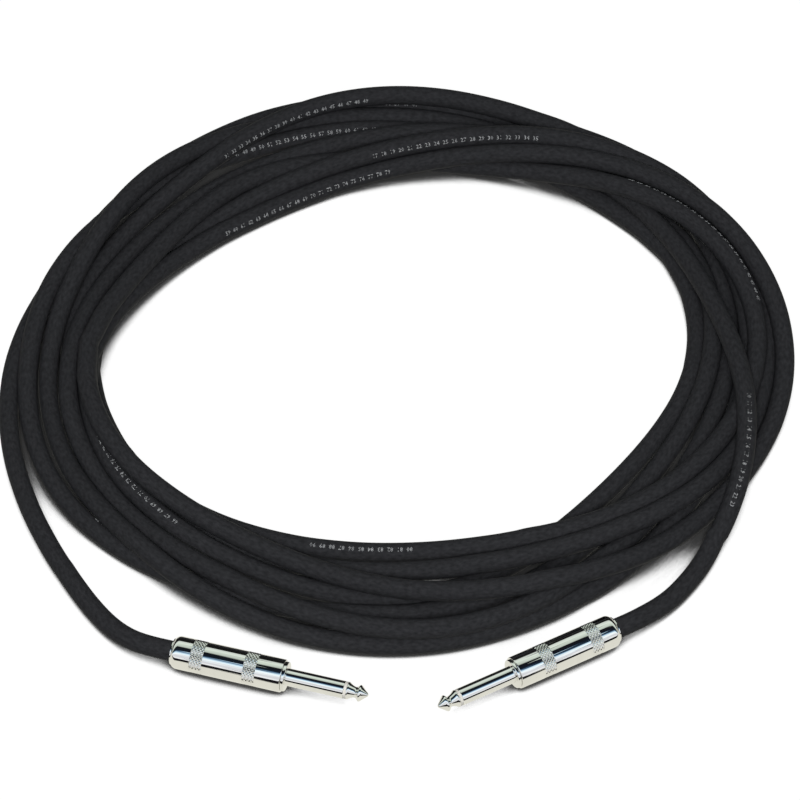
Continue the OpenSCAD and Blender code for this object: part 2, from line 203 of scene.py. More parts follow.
def grid_object(name, points, material, uv, wrap_rows=False, sharp=35):
    """A closed skin of quads between the points of a grid, whose columns go round.

    points[i, k] is row i and column k, and uv has one more column, and one more row where the
    rows go round too.  Rows that shrink to one point close the skin as poles.
    """
    rows, columns = points.shape[:2]
    index = np.arange(rows * columns).reshape(rows, columns)
    index = np.hstack([index, index[:, :1]])
    if wrap_rows:
        index = np.vstack([index, index[:1]])
    own = np.arange(index.size).reshape(index.shape)

    def quads(grid):
        corners = (grid[:-1, :-1], grid[1:, :-1], grid[1:, 1:], grid[:-1, 1:])
        return np.stack([c.ravel() for c in corners], axis=1)

    corners = points.reshape(-1, 3)
    faces, labels = quads(index), quads(own)
    if enclosed(corners, faces) < 0:
        faces, labels = faces[:, ::-1], labels[:, ::-1]
    mesh = bpy.data.meshes.new(name)
    mesh.from_pydata(corners.tolist(), [], faces.tolist())
    layer = mesh.uv_layers.new(name="Surface")
    layer.uv.foreach_set("vector", uv.reshape(-1, 2)[labels.ravel()].ravel())
    work = bmesh.new()
    work.from_mesh(mesh)
    bmesh.ops.remove_doubles(work, verts=work.verts, dist=1e-7)
    work.to_mesh(mesh)
    work.free()
    mesh.shade_smooth()
    mesh.set_sharp_from_angle(angle=radians(sharp))
    mesh.materials.append(material)
    piece = bpy.data.objects.new(name, mesh)
    bpy.context.scene.collection.objects.link(piece)
    return piece


def turned(name, plug, profile, material, sides, closed=True, relief=None, sharp=35):
    """A turned piece of a plug: its profile swept round the plug's axis.

    The profile has columns distance, radius and relief.  Column k of the grid stands at
    360 k / sides degrees, at x = r cos, y = r sin and z = distance in the plug's own axes,
    and r is the radius plus relief(distance, angle) times the relief column.
    """
    rim, x_axis, y_axis, z_axis = plug_axes(plug)
    turn = np.linspace(0, 2 * np.pi, sides, endpoint=False)
    z, r, weight = (profile[:, k, None] for k in range(3))
    radius = r + (relief(z, turn) * weight if relief else 0 * turn)
    points = (rim + z[..., None] * z_axis
              + (radius * np.cos(turn))[..., None] * x_axis
              + (radius * np.sin(turn))[..., None] * y_axis)
    walk = np.concatenate([[0], np.cumsum(np.hypot(*np.diff(profile[:, :2], axis=0).T))])
    if closed:
        walk = np.append(walk, walk[-1] + np.hypot(*(profile[0, :2] - profile[-1, :2])))
    around = np.linspace(0, 2 * np.pi, sides + 1) * np.median(profile[:, 1])
    uv = np.stack(np.broadcast_arrays(around[None, :], walk[:, None]), axis=-1)
    return grid_object(name, points, material, uv, wrap_rows=closed, sharp=sharp)


def plain(points):
    """Profile rows without relief."""
    points = np.array(points, float)
    return np.column_stack([points, np.zeros(len(points))])


def arc(z, r, radius, first, last, steps=7):
    """Profile rows on an arc round (z, r): distance z + radius cos, radius r + radius sin."""
    bend = np.linspace(first, last, steps)
    return plain(np.column_stack([z + radius * cosd(bend), r + radius * sind(bend)]))


def band(first, last, r, rows, weight=1.0):
    """Profile rows from one distance to another at one radius, which carry relief."""
    z = np.linspace(first, last, rows)
    return np.column_stack([z, np.full(rows, r), np.full(rows, weight)])


def through(points, step):
    """A smooth curve through points, with a ring about every step.

    Between two points it is the cubic whose slope at each of them is that of the parabola
    through it and its neighbours, by distance along the chords.
    """
    points = np.asarray(points, float)
    gaps = np.linalg.norm(np.diff(points, axis=0), axis=1)[:, None]
    at = np.concatenate([[0], np.cumsum(gaps)])
    chord = np.diff(points, axis=0) / gaps
    inner = (chord[:-1] * gaps[1:] + chord[1:] * gaps[:-1]) / (gaps[1:] + gaps[:-1])
    slope = np.concatenate([chord[:1], inner, chord[-1:]])
    s = np.linspace(0, at[-1], int(np.ceil(at[-1] / step)) + 1)
    i = np.clip(np.searchsorted(at, s, side="right") - 1, 0, len(gaps) - 1)
    h = gaps[i]
    u = (s - at[i])[:, None] / h
    return ((2 * u**3 - 3 * u**2 + 1) * points[i] + (u**3 - 2 * u**2 + u) * h * slope[i]
            + (3 * u**2 - 2 * u**3) * points[i + 1] + (u**3 - u**2) * h * slope[i + 1])


def frames(path):
    """Heading, side and up at each point of a path that never stands upright."""
    heading = np.gradient(path, axis=0)
    heading /= np.linalg.norm(heading, axis=1)[:, None]
    side = np.cross([0, 0, 1], heading)
    side /= np.linalg.norm(side, axis=1)[:, None]
    return heading, side, np.cross(heading, side)


def along(path):
    """Distance along a path at each of its points."""
    return np.concatenate([[0], np.cumsum(np.linalg.norm(np.diff(path, axis=0), axis=1))])


def swept(name, path, radius, sides, edge, material):
    """A round cord: a circle carried along a path.

    Column k of row i is path[i] + r (cos a side + sin a up), with a = 360 k / sides.  A cut end
    goes from its middle to the full radius one edge along, and back over the edge to the end.
    """
    heading, side, up = frames(path)
    far = along(path)
    bend = np.linspace(0, 90, 5)
    cut = np.column_stack([edge * (1 - sind(bend)), radius - edge * (1 - cosd(bend))])
    lead = np.vstack([[0, 0], cut])
    centre = np.vstack([
        path[0] + np.outer(lead[:, 0], heading[0]), path[1:-1],
        path[-1] - np.outer(lead[::-1, 0], heading[-1])])
    spread = np.concatenate([lead[:, 1], np.full(len(path) - 2, radius), lead[::-1, 1]])
    many = len(lead)
    sides_of = np.vstack([np.repeat(side[:1], many, 0), side[1:-1], np.repeat(side[-1:], many, 0)])
    ups = np.vstack([np.repeat(up[:1], many, 0), up[1:-1], np.repeat(up[-1:], many, 0)])
    turn = np.linspace(0, 2 * np.pi, sides, endpoint=False)
    points = (centre[:, None] + spread[:, None, None]
              * (np.cos(turn)[None, :, None] * sides_of[:, None]
                 + np.sin(turn)[None, :, None] * ups[:, None]))
    walk = np.concatenate([lead[:, 0], far[1:-1], far[-1] - lead[::-1, 0]])
    around = np.linspace(0, 2 * np.pi, sides + 1) * radius
    uv = np.stack(np.broadcast_arrays(around[None, :], walk[:, None]), axis=-1)
    return grid_object(name, points, material, uv, sharp=50)


# ---------- the cord's route ----------
BARREL_LENGTH = -BARREL_REACH.min()
# The barrel slides back over this much of the cord, which runs straight there.
STRAIGHT = joint("liner_slide_a")["range_m"][1] + 0.1 * MM
# The free tails in millimetres, from plug A to the coil and from the coil to plug B.
TAIL_A = [
    (-90.8, 9, 5.8), (-95.2, 11.5, 5.3), (-99.1, 14.6, 4.8), (-102.7, 18.3, 4.3),
    (-106.6, 23.1, 3.9), (-111.4, 29.8, 3.7), (-116.8, 38.4, 3.7), (-122.5, 48.6, 3.7),
    (-128.3, 60, 3.7), (-133.6, 71.6, 3.7), (-138.4, 83.2, 3.7),
]
TAIL_B = [
    (131.6, 145, 11.6), (131.1, 133, 11.6), (130, 121, 11.6), (128.5, 109, 11.6),
    (126.6, 97, 11.6), (124.9, 87, 11.6), (123.3, 79.5, 11.5), (121.6, 73, 10.7),
    (119.8, 67, 8.8), (117.7, 61.2, 6.5), (115.2, 55.4, 4.5), (112.4, 49.8, 3.7),
    (108.9, 43.8, 3.7), (105, 38.2, 3.7), (100.6, 32.6, 3.9), (95.8, 27.6, 4.5),
    (90.4, 23, 5.3),
]
# How the coil is laid, turn by turn from tail A up to tail B: millimetres from the coil's
# middle at each of twelve even headings, anticlockwise from the right.  The first turn is the
# part of one that tail A leads into.  The distances aren't worked out by a loop and weren't
# chosen by hand: 64 of the 91 are the rounded results of a least squares fit made outside this
# script, and the other 27 were changed from its results by trial.
LAID = [
    (129, 135, 139, 138, 142, 138, 146),
    (117, 123, 129, 137, 144, 138, 136, 131, 140, 144, 131, 126),
    (107, 118, 115, 134, 132, 138, 144, 142, 126, 119, 116, 98),
    (144, 140, 121, 99, 96, 101, 115, 118, 110, 116, 98, 93),
    (135, 133, 110, 105, 113, 102, 116, 117, 104, 118, 129, 137),
    (137, 142, 130, 107, 102, 105, 118, 110, 97, 87, 105, 120),
    (120, 132, 146, 147, 135, 135, 124, 115, 106, 103, 113, 127),
    (125, 125, 121, 122, 122, 120, 124, 119, 128, 134, 130, 112),
]
# How many cords lie under it there as it is laid down, before it settles.
BELOW = [
    (0, 0, 0, 0, 0, 0, 0),
    (0.5, 0, 0, 0, 1, 1.5, 1, 1, 1, 0, 0, 0),
    (0, 0, 0, 0, 0, 0, 0.5, 0, 0, 0, 0, 0),
    (1, 1.5, 2, 2, 1, 0.5, 1, 2, 1, 0, 0, 0),
    (1, 2, 2, 0.5, 1, 1, 1, 1, 1, 1, 1.5, 1),
    (0, 1, 2, 2, 1, 0, 0, 0, 0, 0, 1, 1),
    (0, 0, 0, 1, 2, 1, 0, 0, 0, 0, 0, 1),
    (2, 1, 1, 1, 1, 1, 1, 1, 1, 1, 1, 0),
]
# The coil's outer and inner rim at the same headings, as the camera sees them, listed from points
# measured on the outline.
RIMS = (
    (145, 144, 138, 144, 141, 138, 150, 145, 137, 139, 131, 135),
    (109, 117, 112, 103, 94, 103, 119, 113, 101, 92, 98, 97),
)


def behind(plug, depth):
    """The point on a plug's axis that far behind its front rim."""
    rim, _, _, way = plug_axes(plug)
    return rim - depth * way


def laid_coil(cord, coil):
    """Middle of the coil's cord as it is laid, clockwise from tail A to tail B.

    Point k of a turn stands at x = r cos a and y = r sin a from the coil's middle, where
    a = 360 k / 12.
    """
    points = []
    for distances, heights in zip(LAID, BELOW):
        a = np.arange(len(distances)) * 2 * np.pi / len(RIMS[0])
        turn = np.column_stack([coil.middle_x + np.array(distances) * MM * np.cos(a),
                                coil.middle_y + np.array(distances) * MM * np.sin(a),
                                cord.diameter / 2 + np.array(heights) * coil.layer])
        points += [*turn[::-1]]
    return np.array(points)


def laid_cord(cord, coil):
    """Middle of the whole cord as it is laid, from its end in plug A to its end in plug B.

    Where tail B lies over the coil, its underside is laid at twice the height that it has in the
    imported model, because the coil is thicker there before it settles.
    """
    depths = (cord.jacket_end, BARREL_LENGTH, BARREL_LENGTH + STRAIGHT)
    tail_a, tail_b = np.array(TAIL_A) * MM, np.array(TAIL_B) * MM
    over = tail_b[:, 2] > cord.diameter
    tail_b[over, 2] += tail_b[over, 2] - cord.diameter / 2
    return through(np.vstack([
        [behind("a", d) for d in depths], tail_a, laid_coil(cord, coil), tail_b,
        [behind("b", d) for d in depths[::-1]]]), cord.ring_step)


def close_pairs(points, reach, gap):
    """Pairs of points nearer than reach that are more than gap points apart along the cord."""
    apart = sum(np.subtract.outer(column, column)**2 for column in points.T)
    return np.nonzero(np.triu(apart < reach**2, gap + 1))


def parted(points, pairs, distance):
    """How each point moves to push the pairs that are closer than that distance apart."""
    first, second = pairs
    way = points[first] - points[second]
    apart = np.linalg.norm(way, axis=1)
    touch = apart < distance
    first, second = first[touch], second[touch]
    push = way[touch] * ((distance / apart[touch] - 1) / 2)[:, None]
    many = len(points)
    move = [np.bincount(first, part, many) - np.bincount(second, part, many) for part in push.T]
    share = np.bincount(first, minlength=many) + np.bincount(second, minlength=many)
    return np.stack(move, axis=1) / np.maximum(share, 1)[:, None]**0.6


def straightened(points, w):
    """How each point moves to even out its bend: less a sixteenth of the fourth difference."""
    move = np.zeros_like(points)
    move[2 * w:-2 * w] = (4 * (points[w:-3 * w] + points[3 * w:-w]) - points[:-4 * w]
                          - points[4 * w:] - 6 * points[2 * w:-2 * w]) / 16
    return move


def evened(points, step):
    """How each point moves so that its neighbours stand one step away."""
    link = np.diff(points, axis=0)
    pull = link * (1 - step / np.linalg.norm(link, axis=1)[:, None])
    move = np.zeros_like(points)
    move[:-1] += pull
    move[1:] -= pull
    return move


def within_rims(points, coil, view):
    """The points, drawn back between the coil's rims as the camera sees them.

    A point a height above the lower layer's top looks height / tan(view) further back.
    """
    x, y = points[:, 0] - coil.middle_x, points[:, 1] - coil.middle_y
    r, heading = np.hypot(x, y), np.arctan2(y, x)
    headings = np.arange(len(RIMS[0])) * 2 * np.pi / len(RIMS[0])
    outer, inner = (np.interp(heading, headings, np.array(rim) * MM, period=2 * np.pi)
                    for rim in RIMS)
    lean = (points[:, 2] - coil.layer) * np.sin(heading) / np.tan(view)
    share = (np.clip(r + lean, inner, outer) - lean) / r
    return np.column_stack([coil.middle_x + x * share, coil.middle_y + y * share, points[:, 2]])


# Settling: rounds between two searches for near pairs, how much further than a diameter they
# look, the stretch of cord on each side that they leave out in diameters, the share of the
# rounds in which the cord drops and is drawn back, the widths over which it straightens, the
# share of a step that it evens out in a round, and the pushes in a round.
SEARCH_ROUNDS, SEARCH_MARGIN, SEARCH_GAP = 12, 3 * MM, 6
FALLING = 0.87
STRAIGHTEN_WIDTHS = (1, 2, 6)
EVENING = 0.25
PUSHES = 2


def settled(points, cord, coil, view):
    """The laid cord after it has sunk onto the floor and onto itself.

    In each round every free point drops a little, is drawn back towards where it was laid,
    straightens, keeps its distance along the cord, stays within the rims of the coil, and is
    pushed off the floor and off the cord beside it.  The ends held by the plugs don't move.
    """
    laid = points
    step = along(laid)[-1] / (len(laid) - 1)
    free = np.ones((len(laid), 1))
    held = int(coil.held / step)
    free[:held] = free[-held:] = 0
    banded = slice(int(coil.lead_a / step), -int(coil.lead_b / step))
    for count in range(coil.rounds):
        if count % SEARCH_ROUNDS == 0:
            pairs = close_pairs(points, cord.diameter + SEARCH_MARGIN,
                                int(SEARCH_GAP * cord.diameter / step))
        left = max(0, 1 - count / (FALLING * coil.rounds))
        move = coil.hold * left * (laid - points) * (1, 1, 0) - (0, 0, coil.drop * left)
        points = points + free * move
        for width in STRAIGHTEN_WIDTHS:
            points = points + free * coil.stiffness * straightened(points, width)
        points = points + free * EVENING * evened(points, step)
        for _ in range(PUSHES):
            points = points + free * parted(points, pairs, coil.contact)
            points[:, 2] = np.clip(points[:, 2], cord.diameter / 2, coil.press)
        points[banded] = within_rims(points[banded], coil, view)
    return points


# ---------- materials ----------
def group_socket(group, name, out, kind="NodeSocketFloat"):
    group.interface.new_socket(name=name, in_out="OUTPUT" if out else "INPUT", socket_type=kind)


def noise_group(name, settings, detail, worker, entry, result, kind="NodeSocketFloat"):
    """Node group: noise that drives one node, and that node.  settings name the node's inputs."""
    group = bpy.data.node_groups.new(name, "ShaderNodeTree")
    group_socket(group, "Vector", False, "NodeSocketVector")
    for setting in ("Scale", *settings):
        group_socket(group, setting, False)
    group_socket(group, result, True, kind)
    nodes, links = group.nodes, group.links
    given, end = nodes.new("NodeGroupInput"), nodes.new("NodeGroupOutput")
    noise, node = nodes.new("ShaderNodeTexNoise"), nodes.new(worker)
    noise.inputs["Detail"].default_value = detail
    for setting in ("Vector", "Scale"):
        links.new(given.outputs[setting], noise.inputs[setting])
    links.new(noise.outputs["Fac"], node.inputs[entry])
    for setting, own in settings.items():
        links.new(given.outputs[setting], node.inputs[own])
    links.new(node.outputs[0], end.inputs[result])
    return group, node


def mottle_group():
    """Node group: roughness that drifts between two values over the surface."""
    group, span = noise_group("Mottled roughness", {"Low": "To Min", "High": "To Max"}, 4,
                              "ShaderNodeMapRange", "Value", "Roughness")
    span.inputs["From Min"].default_value = 0.3
    span.inputs["From Max"].default_value = 0.7
    return group


def relief_group():
    """Node group: a bump from noise, stretched along one direction by the vector it is given."""
    own = {name: name for name in ("Strength", "Distance")}
    return noise_group("Fine relief", own, 3, "ShaderNodeBump", "Height", "Normal",
                       "NodeSocketVector")[0]


def shared_group(name, make):
    return bpy.data.node_groups.get(name) or make()


def finish(name, colours, mottle, relief, metallic=0.0, surface=True, stretch=(1, 1, 1), **sockets):
    """A material: colour drifting between two tints, mottled roughness and a fine bump.

    mottle is scale, low and high roughness; relief is scale, strength and depth.  It reads the
    piece's own surface map, or Object coordinates where surface is false.
    """
    material = bpy.data.materials.new(name)
    material.use_nodes = True
    nodes, links = material.node_tree.nodes, material.node_tree.links
    shader = nodes["Principled BSDF"]
    shader.inputs["Metallic"].default_value = metallic
    for socket, value in sockets.items():
        shader.inputs[socket.replace("_", " ")].default_value = value
    place = nodes.new("ShaderNodeTexCoord")
    mapping = nodes.new("ShaderNodeMapping")
    mapping.inputs["Scale"].default_value = stretch
    links.new(place.outputs["UV" if surface else "Object"], mapping.inputs["Vector"])
    vector = mapping.outputs["Vector"]

    for title, make, names, values, result in (
            ("Mottled roughness", mottle_group, ("Scale", "Low", "High"), mottle, "Roughness"),
            ("Fine relief", relief_group, ("Scale", "Strength", "Distance"), relief, "Normal")):
        effect = nodes.new("ShaderNodeGroup")
        effect.node_tree = shared_group(title, make)
        for socket, value in zip(names, values):
            effect.inputs[socket].default_value = value
        links.new(vector, effect.inputs["Vector"])
        links.new(effect.outputs[result], shader.inputs[result])

    noise = nodes.new("ShaderNodeTexNoise")
    noise.inputs["Scale"].default_value = mottle[0] * 0.6
    noise.inputs["Detail"].default_value = 5
    ramp = nodes.new("ShaderNodeValToRGB")
    ramp.color_ramp.elements[0].position = 0.3
    ramp.color_ramp.elements[1].position = 0.7
    for stop, colour in zip(ramp.color_ramp.elements, colours):
        stop.color = (*colour, 1)
    links.new(vector, noise.inputs["Vector"])
    links.new(noise.outputs["Fac"], ramp.inputs["Fac"])
    links.new(ramp.outputs["Color"], shader.inputs["Base Color"])
    return material


def shaded(colour, share):
    """The colour, lighter or darker by a share."""
    return tuple(min(1.0, c * (1 + share)) for c in colour)


def jacket_rubber():
    """Matt black rubber with faint drawing lines along the cord."""
    colour = bpy.context.scene.cable_cord.colour
    return finish("Jacket rubber", (shaded(colour, -0.3), shaded(colour, 0.3)),
                  (1500, 0.56, 0.66), (1800, 0.3, 0.03 * MM), stretch=(1, 0.5, 1),
                  Specular_IOR_Level=0.04)


def print_ink():
    colour = bpy.context.scene.cable_cord.print_colour
    return finish("Print ink", (shaded(colour, -0.5), shaded(colour, 0.3)), (1200, 0.5, 0.7),
                  (1500, 0.2, 0.01 * MM), surface=False)


def nickel_plate():
    """Bright nickel with fine turning marks round the axis."""
    colour = bpy.context.scene.cable_plug.nickel
    return finish("Nickel plate", (shaded(colour, -0.04), shaded(colour, 0.03)),
                  (300, 0.03, 0.07), (2600, 0.04, 0.008 * MM), metallic=1.0,
                  stretch=(0.06, 1, 1))


def white_nylon():
    colour = bpy.context.scene.cable_plug.nylon
    return finish("White nylon", (shaded(colour, -0.06), shaded(colour, 0.05)),
                  (250, 0.38, 0.5), (1500, 0.15, 0.01 * MM), surface=False)


def clear_nylon():
    return finish("Clear nylon", ((0.80, 0.80, 0.76), (0.86, 0.86, 0.83)), (200, 0.2, 0.32),
                  (900, 0.1, 0.01 * MM), surface=False, Transmission_Weight=0.6, IOR=1.5)


def brass_sheet():
    return finish("Brass sheet", ((0.74, 0.52, 0.23), (0.84, 0.63, 0.32)), (260, 0.22, 0.4),
                  (1800, 0.15, 0.01 * MM), metallic=1.0, surface=False)


def red_insulation():
    return finish("Red insulation", ((0.42, 0.018, 0.014), (0.52, 0.03, 0.022)),
                  (300, 0.36, 0.5), (1500, 0.12, 0.01 * MM), surface=False)


def black_insulation():
    return finish("Black insulation", ((0.012, 0.012, 0.013), (0.022, 0.022, 0.024)),
                  (300, 0.36, 0.5), (1500, 0.12, 0.01 * MM), surface=False)


def bare_copper():
    return finish("Bare copper", ((0.72, 0.34, 0.2), (0.86, 0.46, 0.3)), (400, 0.24, 0.4),
                  (2500, 0.2, 0.01 * MM), metallic=1.0, surface=False)


def soft_solder():
    return finish("Soft solder", ((0.5, 0.5, 0.5), (0.62, 0.62, 0.61)), (350, 0.22, 0.42),
                  (1200, 0.25, 0.02 * MM), metallic=1.0, surface=False)


def material_named(name, make):
    return bpy.data.materials.get(name) or make()


# ---------- pieces ----------
# The cord's route once it is settled, for what is printed on it.
ROUTE = []


class CABLE_OT_cord(bpy.types.Operator):
    """Lay the whole jacketed cord, from plug to plug, along the coil and its two free tails"""
    bl_idname = "cable.cord"
    bl_label = "Cord"

    def execute(self, context):
        cord, coil = context.scene.cable_cord, context.scene.cable_coil
        route = settled(laid_cord(cord, coil), cord, coil, context.scene.cable_stage.elevation)
        ROUTE[:] = route.tolist()
        piece = swept("cord", route, cord.diameter / 2, cord.sides, cord.edge,
                      material_named("Jacket rubber", jacket_rubber))
        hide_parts("cable_tail_a", "cable_coil", "cable_tail_b")
        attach(piece, "cable")
        tuple(behind("a", BARREL_LENGTH))
        return {"FINISHED"}


# Where numbers are printed on the jacket: the turn, counted back from plug B, the first and last
# heading in degrees, and how far outwards from the top of the cord they stand.
PRINTED = [
    (0, 326, 348, 15), (3, 62, 97, -60), (4, 7, 44, 40), (2, 93, 124, -70), (8, 86, 93, -42),
    (6, 91, 124, -42), (4, 100, 108, -42), (5, 89, 135, -60), (5, 191, 225, 10),
    (6, 213, 221, -40), (3, 245, 272, 22),
]

# Room that a two-digit number and its space take, and how far the row is lowered to stand in
# the middle, as shares of the print's size.
NUMBER_ROOM, NUMBER_DROP = 1.65, 0.35


def flat_numbers(first, size, thickness, room):
    """Corners and faces of a row of two-digit numbers, counting up, as long as the room."""
    text = bpy.data.curves.new("numbers", "FONT")
    text.size, text.extrude, text.resolution_u = size, thickness / 2, 1
    count = max(1, int(room / (NUMBER_ROOM * size)))
    text.body = "  ".join(f"{number % 100:02d}" for number in range(first, first + count))
    row = bpy.data.objects.new("numbers", text)
    mesh = row.to_mesh()
    corners = np.empty(len(mesh.vertices) * 3)
    mesh.vertices.foreach_get("co", corners)
    faces = [tuple(face.vertices) for face in mesh.polygons]
    row.to_mesh_clear()
    bpy.data.objects.remove(row)
    bpy.data.curves.remove(text)
    return corners.reshape(-1, 3), faces


def wrapped(corners, start, turn, route, radius):
    """Flat corners laid on the cord: x along it from a start, y round it and z off its surface.

    A corner stands at the route's middle, plus radius + z times sin b to the side and cos b up,
    with b = turn + y / radius.
    """
    far = along(route)
    _, side, up = frames(route)

    def at(values):
        columns = [np.interp(start + corners[:, 0], far, column) for column in values.T]
        return np.stack(columns, axis=1)

    b = (turn + corners[:, 1] / radius)[:, None]
    way = np.sin(b) * at(side) + np.cos(b) * at(up)
    return at(route) + (radius + corners[:, 2])[:, None] * way


class CABLE_OT_print(bpy.types.Operator):
    """Print rows of plain numbers on the jacket"""
    bl_idname = "cable.print"
    bl_label = "Print"

    def execute(self, context):
        cord, coil = context.scene.cable_cord, context.scene.cable_coil
        route = np.array(ROUTE)
        heading = np.arctan2(route[:, 1] - coil.middle_y, route[:, 0] - coil.middle_x)
        unwound = np.degrees(np.unwrap(np.mod(heading[::-1], 2 * np.pi)))
        far = along(route)[::-1]
        points, faces = [], []
        for row, (turn, low, high, outwards) in enumerate(PRINTED):
            start, stop = np.interp((360 * turn + high, 360 * turn + low), unwound, far)
            corners, own = flat_numbers(10 + 7 * row, cord.print_height, 2 * cord.print_rise,
                                        stop - start)
            corners[:, 1] -= NUMBER_DROP * cord.print_height
            base = sum(map(len, points))
            points.append(wrapped(corners, start, radians(outwards), route, cord.diameter / 2))
            faces += [tuple(base + k for k in face) for face in own]
        mesh = bpy.data.meshes.new("jacket_numbers")
        mesh.from_pydata(np.vstack(points).tolist(), [], faces)
        mesh.materials.append(material_named("Print ink", print_ink))
        piece = bpy.data.objects.new("jacket_numbers", mesh)
        context.scene.collection.objects.link(piece)
        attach(piece, "cable")
        return {"FINISHED"}


def knurl(settings):
    """Relief of a diamond knurl: two families of grooves that cross on helices.

    A groove lies where teeth * angle / 360 plus or minus distance / tooth is whole, and the
    relief falls evenly to minus the depth there, from flats between the grooves.
    """
    tooth = 2 * np.pi * BARREL_RADII.max() / settings.teeth

    def relief(z, turn):
        round_part = settings.teeth * turn / (2 * np.pi)
        one = np.abs(2 * ((round_part + z / tooth) % 1) - 1)
        other = np.abs(2 * ((round_part - z / tooth) % 1) - 1)
        return settings.knurl_depth * (np.clip(1.25 * np.minimum(1 - one, 1 - other), 0, 1) - 1)

    return relief


def barrel_profile(settings):
    """Wall of a barrel: round the front rim, back along the outside and through the bore."""
    r, back = BARREL_RADII.max(), BARREL_REACH.min()
    hole = BARREL_RADII.min()
    bore = np.sort(np.unique(BARREL_RADII.round(5)))
    bore = bore[np.searchsorted(bore, hole + 1 * MM)]
    wall_end = BARREL_REACH[BARREL_RADII < hole + 0.01 * MM].max()
    nose, tail = settings.front_round, settings.rear_round
    rows = [arc(-nose, r - nose, nose, 0, 90)]
    half, edge = settings.knurl_width / 2, 0.12 * MM
    pitch_rows = 2 * np.pi * r / settings.teeth / settings.tooth_samples
    for at in (settings.front_knurl, settings.rear_knurl):
        many = int(round(2 * half / pitch_rows)) + 1
        rows += [plain([(-at + half + edge, r)]), band(-at + half, -at - half, r, many),
                 plain([(-at - half - edge, r)])]
    rows += [
        arc(back + tail, r - tail, tail, 90, 180, 12),
        plain([(back, hole + 0.3 * MM), (back + 0.1 * MM, hole + 0.1 * MM),
               (back + 0.3 * MM, hole), (wall_end, hole), (wall_end, bore),
               (-0.2 * MM, bore), (0, bore + 0.2 * MM)]),
    ]
    return np.vstack(rows)


class CABLE_OT_barrels(bpy.types.Operator):
    """Turn the two screw-on barrels, with their knurled bands"""
    bl_idname = "cable.barrels"
    bl_label = "Barrels"

    def execute(self, context):
        settings = context.scene.cable_plug
        for plug in PLUGS:
            piece = turned("barrel_" + plug, plug, barrel_profile(settings),
                           material_named("Nickel plate", nickel_plate),
                           settings.teeth * settings.tooth_samples, relief=knurl(settings))
            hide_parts("handle_" + plug)
            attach(piece, "handle_" + plug)
        return {"FINISHED"}


def thread(settings):
    """Relief of a screw thread: zero on the crest, minus its depth in the root of the helix."""
    def relief(z, turn):
        ridge = np.abs(2 * ((z / settings.pitch - turn / (2 * np.pi)) % 1) - 1)
        return settings.thread_depth * (np.clip(1.3 * ridge - 0.15, 0, 1) - 1)

    return relief


def sleeve_profile(settings):
    """Sleeve contact: threaded boss, flange and the long finger, with its bore."""
    inner = SLEEVE_RADII.min()
    back, front = SLEEVE_REACH.min(), SLEEVE_REACH.max()
    finger = RING_RADII.max() + 0.05 * MM
    flange = SLEEVE_RADII.max()
    boss = SLEEVE_RADII[SLEEVE_REACH < -1 * MM].max()
    step = SLEEVE_REACH[SLEEVE_RADII > flange - 0.01 * MM].max() + 0.2 * MM
    rise = 0.3 * MM
    start, stop = back + 0.4 * MM, -0.7 * MM
    root = boss - settings.thread_depth
    many = int(round((stop - start) / settings.pitch * 14))
    return np.vstack([
        plain([(back, inner), (back, root), (start - 0.1 * MM, root + 0.1 * MM)]),
        band(start, stop, boss, many),
        plain([(stop + 0.15 * MM, root), (0.05 * MM, root), (0.05 * MM, flange - 0.1 * MM)]),
        arc(0.05 * MM + 0.1 * MM, flange - 0.1 * MM, 0.1 * MM, 180, 90, 4),
        arc(step - rise, flange - rise, rise, 90, 0, 6),
        plain([(step, finger + 0.25 * MM)]),
        arc(step + 0.25 * MM, finger + 0.25 * MM, 0.25 * MM, 180, 270, 5),
        arc(front - 0.15 * MM, finger - 0.15 * MM, 0.15 * MM, 90, 0, 4),
        plain([(front, inner)]),
    ])


def tip_profile(settings):
    """Tip contact: riveted rod, shoulder, waisted neck, ball and blunt point."""
    rod = 1.2 * MM
    base, end = RING_REACH.max(), TIP_REACH.max()
    back = TIP_REACH.min()
    r = TIP_RADII.max()
    neck, ball = settings.neck / 2, settings.ball / 2
    ball_at = end - 3.2 * MM
    neck_at = ball_at - 1.6 * MM
    curve = through([
        (base + 0.5 * MM, r - 0.05 * MM, 0), (base + 1.2 * MM, r - 0.55 * MM, 0),
        (neck_at - 0.6 * MM, neck + 0.12 * MM, 0), (neck_at - 0.1 * MM, neck, 0),
        (neck_at + 0.3 * MM, neck + 0.1 * MM, 0), (ball_at - 0.55 * MM, ball - 0.42 * MM, 0),
        (ball_at - 0.25 * MM, ball - 0.1 * MM, 0), (ball_at, ball, 0),
        (ball_at + 0.3 * MM, ball - 0.12 * MM, 0), (ball_at + 1 * MM, ball - 0.72 * MM, 0),
        (end - 0.75 * MM, 1.02 * MM, 0), (end - 0.3 * MM, 0.66 * MM, 0),
        (end - 0.06 * MM, 0.3 * MM, 0)], 0.12 * MM)
    return np.vstack([
        plain([(back, 0), (back, rod + 0.25 * MM), (back + 0.15 * MM, rod + 0.55 * MM),
               (back + 0.45 * MM, rod + 0.7 * MM), (back + 0.8 * MM, rod + 0.7 * MM),
               (back + 0.8 * MM, rod), (base, rod), (base, r - 0.15 * MM)]),
        arc(base + 0.15 * MM, r - 0.15 * MM, 0.15 * MM, 180, 90, 4),
        plain([(base + 0.4 * MM, r)]), curve, plain([(end, 0)]),
    ])


def ring_profile():
    """Insulating ring between sleeve and tip, with a faintly hollow rim."""
    inner, r = RING_RADII.min(), RING_RADII.max()
    back, front = RING_REACH.min(), RING_REACH.max()
    middle = (back + front) / 2
    return np.vstack([plain([(back, inner), (back, r)]),
                      plain([(middle, r - 0.06 * MM), (front, r), (front, inner)])])


